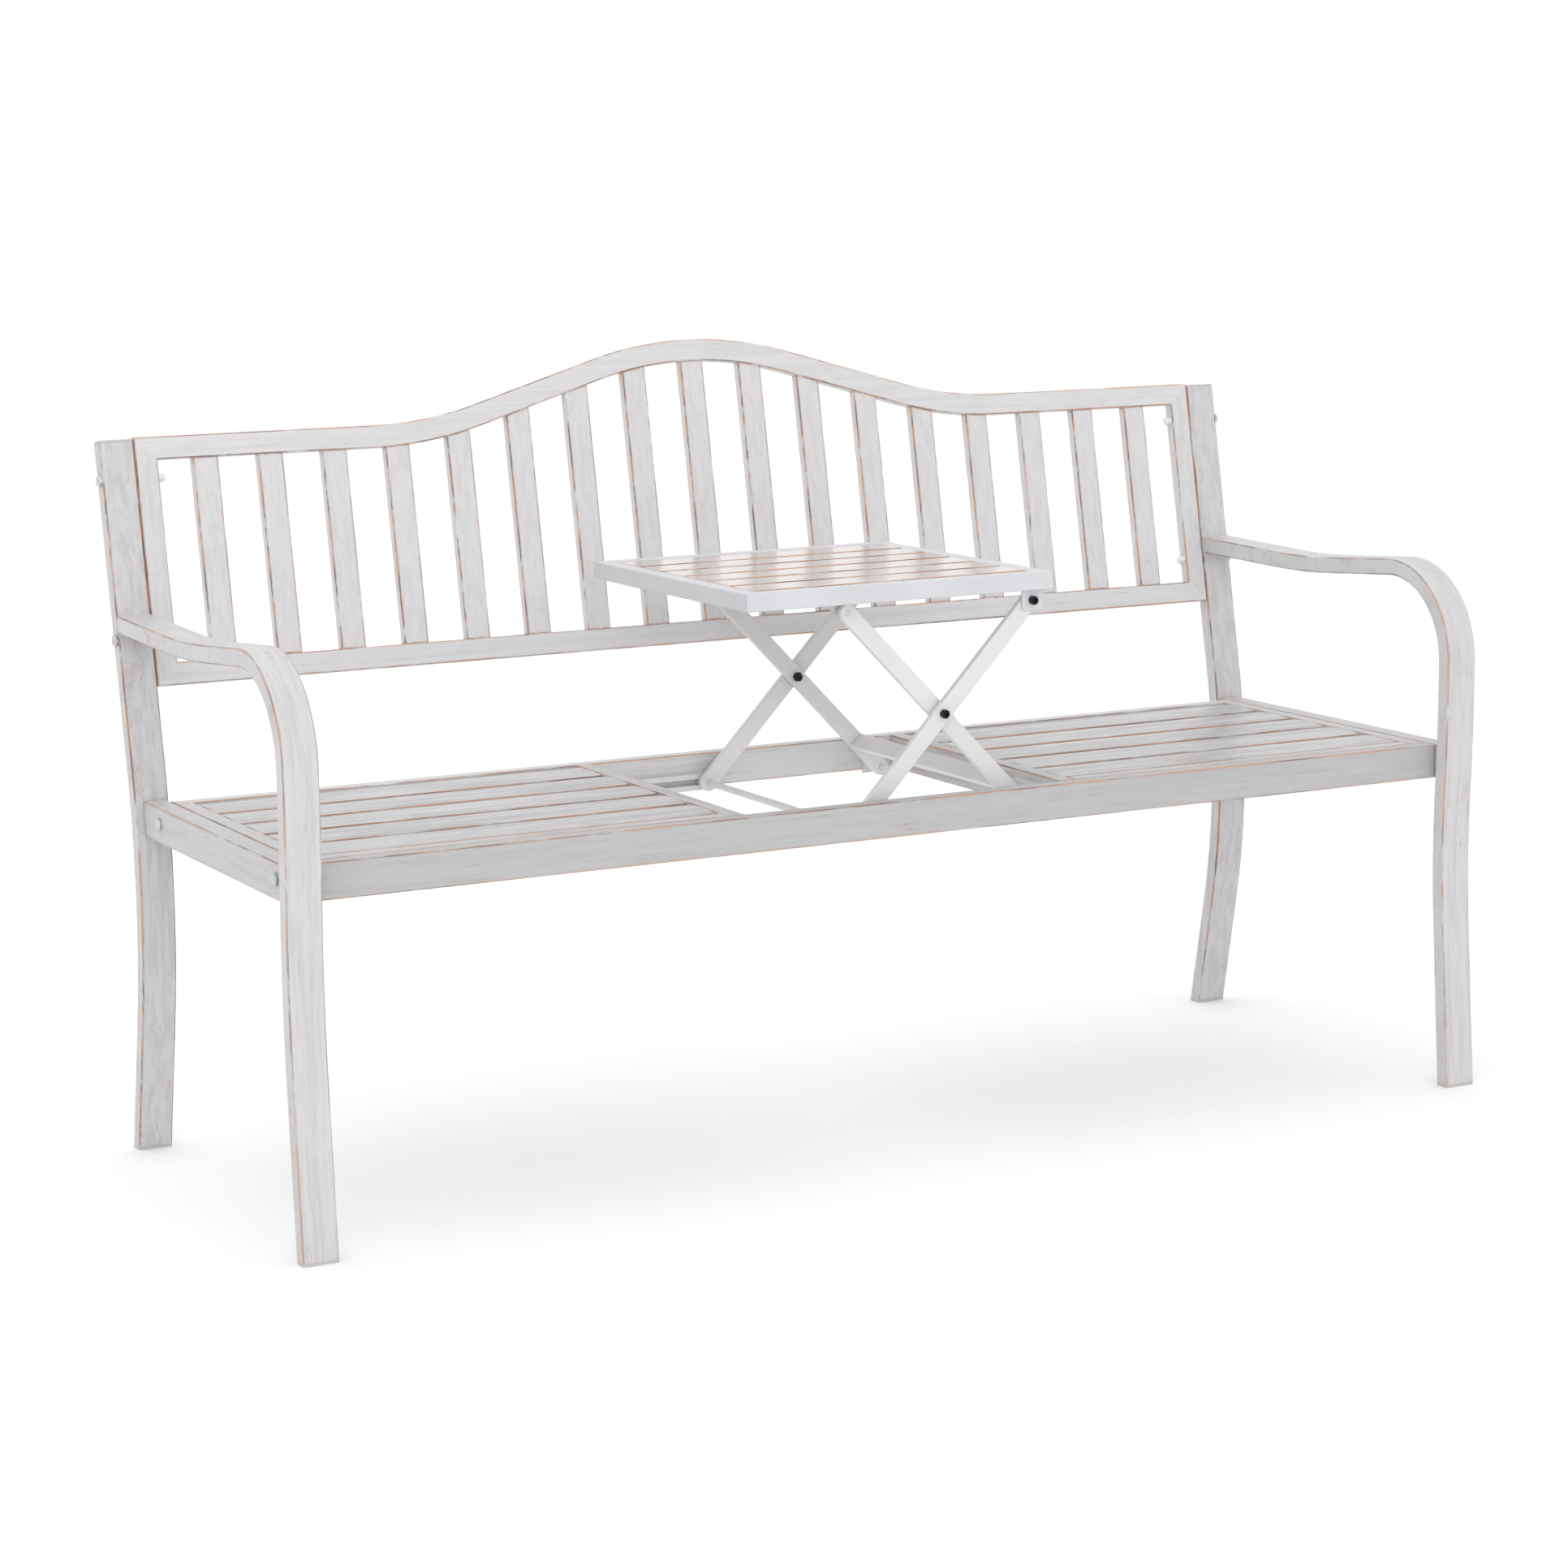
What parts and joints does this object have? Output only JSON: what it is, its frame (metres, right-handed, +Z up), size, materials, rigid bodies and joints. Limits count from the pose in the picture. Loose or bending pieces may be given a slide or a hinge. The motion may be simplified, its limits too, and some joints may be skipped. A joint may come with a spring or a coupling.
{
  "type": "garden bench",
  "caption": "Slatted metal garden bench with arched backrest, bent tube arms and a slatted scissor-lift table rising from the middle of the seat",
  "frame": {"origin": "centre of the bounding box on the ground, under the middle of the bench", "axes": "+X along the bench to the right as seen from the front, -Y is the front, +Z up"},
  "size_m": [1.508, 0.5991, 0.8996],
  "materials": {
    "frame_paint": "off-white brushed wood-grain paint, rubbed through to tan along edges",
    "slat_paint": "off-white brushed paint worn grey and tan along the slat edges",
    "table_paint": "glossier off-white brushed paint with tan streaks",
    "plain_paint": "clean plain white satin paint",
    "bolt": "bright plated",
    "black_bolt": "black oxide",
    "nut_cap": "white plastic cap",
    "plastic_cap": "pale plastic"
  },
  "bodies": {
    "bench": {"back_bottom_rail": "frame_paint", "back_left_stile": "frame_paint", "back_right_stile": "frame_paint", "back_slats": "frame_paint", "back_top_rail": "frame_paint", "cap_nuts": "nut_cap", "foot_caps": "plastic_cap", "frame_bolts": "bolt", "left_arm_leg": "frame_paint", "left_rear_post": "frame_paint", "left_side_rail": "frame_paint", "post_caps": "plastic_cap", "right_arm_leg": "frame_paint", "right_rear_post": "frame_paint", "right_side_rail": "frame_paint", "seat_back_rail": "frame_paint", "seat_brackets": "plain_paint", "seat_front_rail": "frame_paint", "seat_front_strips": "frame_paint", "seat_left_divider": "frame_paint", "seat_left_end": "frame_paint", "seat_left_slat_1": "slat_paint", "seat_left_slat_2": "slat_paint", "seat_left_slat_3": "slat_paint", "seat_left_slat_4": "slat_paint", "seat_left_slat_5": "slat_paint", "seat_right_divider": "frame_paint", "seat_right_end": "frame_paint", "seat_right_slat_1": "slat_paint", "seat_right_slat_2": "slat_paint", "seat_right_slat_3": "slat_paint", "seat_right_slat_4": "slat_paint", "seat_right_slat_5": "slat_paint", "seat_tracks": "plain_paint"},
    "bars_b": {"bar_b_front": "plain_paint", "bar_b_rear": "plain_paint", "bar_b_tie": "plain_paint", "upper_pins": "plain_paint"},
    "bars_a": {"bar_a_front": "plain_paint", "bar_a_rear": "plain_paint", "lower_axle": "plain_paint", "lower_rollers": "plastic_cap", "axle_spacers": "plain_paint", "mid_bolts": "black_bolt", "mid_nuts": "black_bolt", "top_pivot_bolts": "black_bolt"},
    "table": {"table_front_rail": "plain_paint", "table_back_rail": "plain_paint", "table_left_end": "plain_paint", "table_right_end": "plain_paint", "table_channels": "plain_paint", "table_brackets": "plain_paint", "table_slat_1": "table_paint", "table_slat_2": "table_paint", "table_slat_3": "table_paint", "table_slat_4": "table_paint", "table_slat_5": "table_paint", "table_slat_6": "table_paint"},
    "shoes": {"table_shoes": "plastic_cap"}
  },
  "joints": [
    {"name": "bars_b_pivot", "type": "hinge", "parent": "bench", "child": "bars_b", "pos_m": [0.172, -0.042, 0.3805], "axis": [0, -1, 0], "range_deg": [0, 43.76]},
    {"name": "scissor_pivot", "type": "hinge", "parent": "bars_b", "child": "bars_a", "pos_m": [0.057, -0.042, 0.501], "axis": [0, -1, 0], "range_deg": [-87.52, 0]},
    {"name": "table_pivot", "type": "hinge", "parent": "bars_a", "child": "table", "pos_m": [0.172, -0.042, 0.6215], "axis": [0, -1, 0], "range_deg": [0, 43.77]},
    {"name": "shoe_pivot", "type": "hinge", "parent": "bars_b", "child": "shoes", "pos_m": [-0.058, -0.042, 0.6215], "axis": [0, -1, 0], "range_deg": [-43.77, 0]}
  ],
  "couplings": [
    {"joint": "shoe_pivot", "follows": "bars_b_pivot", "ratio": -1},
    {"joint": "scissor_pivot", "follows": "bars_b_pivot", "ratio": -2},
    {"joint": "table_pivot", "follows": "bars_b_pivot", "ratio": 1}
  ]
}
